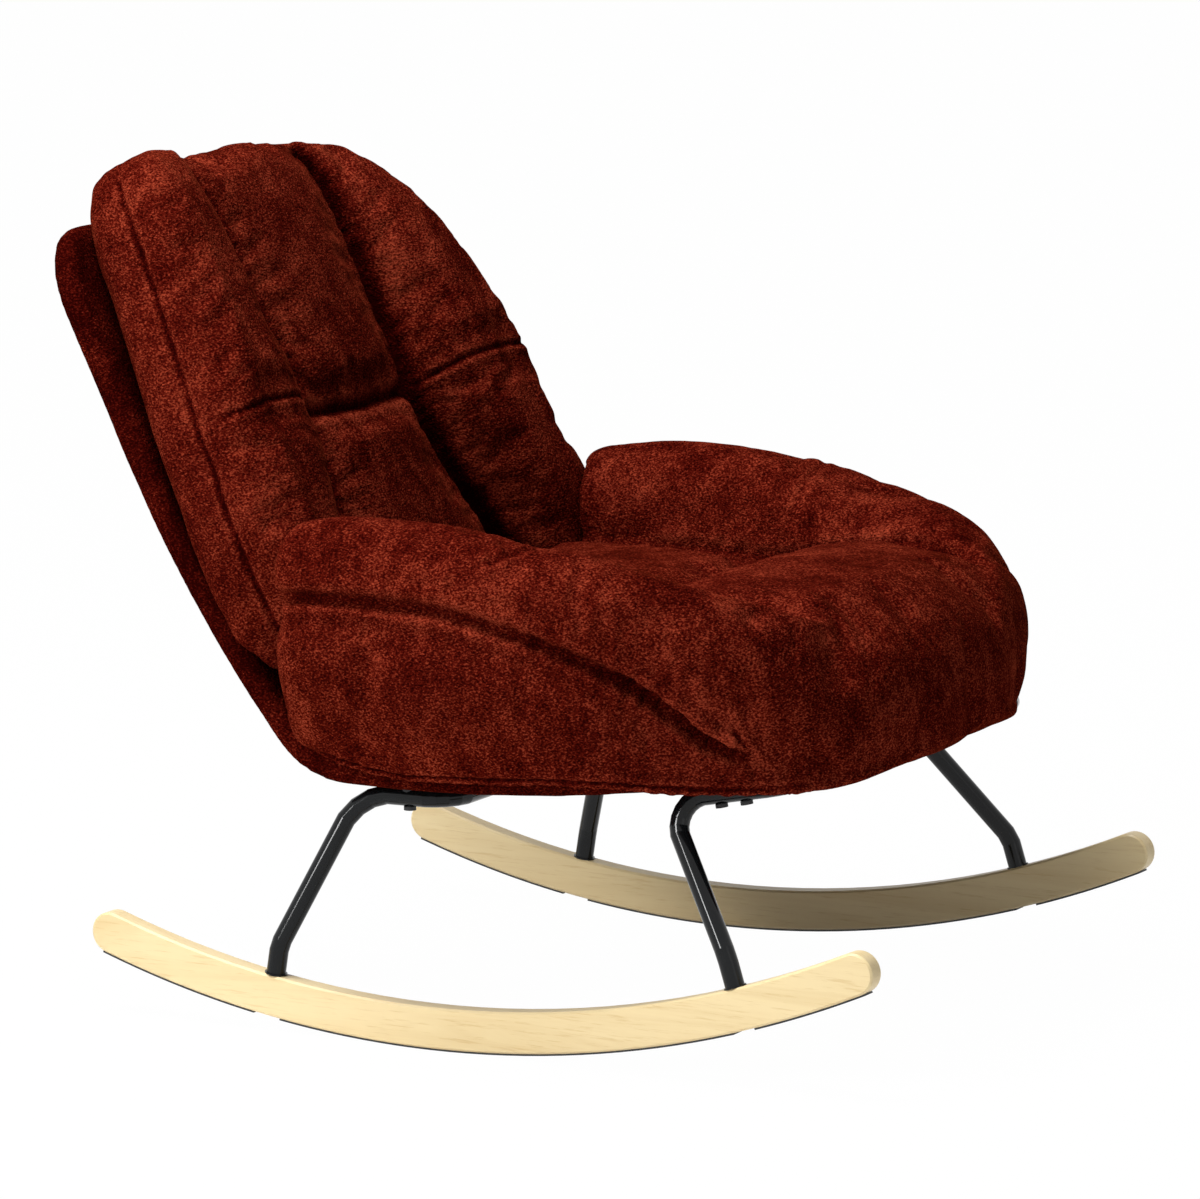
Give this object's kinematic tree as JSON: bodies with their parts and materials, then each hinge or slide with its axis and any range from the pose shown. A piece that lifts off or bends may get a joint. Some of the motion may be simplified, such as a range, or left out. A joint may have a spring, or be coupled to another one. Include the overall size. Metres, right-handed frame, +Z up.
{
  "type": "rocking armchair",
  "caption": "Upholstered rocking armchair: channelled back and wraparound seat cushions on a moulded shell, bent tube legs and curved wooden rockers.",
  "frame": {"origin": "centre of the bounding box, on the floor under the rockers", "axes": "+X to the front of the chair, +Y to the sitter's left, +Z up"},
  "size_m": [0.9309, 0.7566, 0.8277],
  "materials": {
    "upholstery": "matte",
    "rocker_wood": "satin",
    "black_steel": "gloss",
    "glide_strip": "matte",
    "plated_steel": "satin",
    "plywood": "satin",
    "filling": "matte",
    "grip_strip": "matte"
  },
  "bodies": {
    "root": {"shell_cover": "upholstery", "back_cushion": "upholstery", "seat_cushion": "upholstery", "rocker_right": "rocker_wood", "rocker_left": "rocker_wood", "rear_leg_frame": "black_steel", "front_leg_frame": "black_steel", "foot_flanges": "black_steel", "glide_strip_rear_right": "glide_strip", "glide_strip_middle_right": "glide_strip", "glide_strip_front_right": "glide_strip", "glide_strip_rear_left": "glide_strip", "glide_strip_middle_left": "glide_strip", "glide_strip_front_left": "glide_strip", "leg_end_plugs": "plated_steel", "rocker_bolt_washers": "plated_steel", "rocker_bolts": "plated_steel", "saddle_washers": "plated_steel", "tee_nuts": "plated_steel", "frame_bolts": "plated_steel", "shell_core": "plywood", "back_foam": "filling", "seat_foam": "filling", "seat_hook_strips": "grip_strip", "seat_loop_strips": "grip_strip", "back_hook_strips": "grip_strip", "back_loop_strips": "grip_strip"}
  },
  "joints": []
}
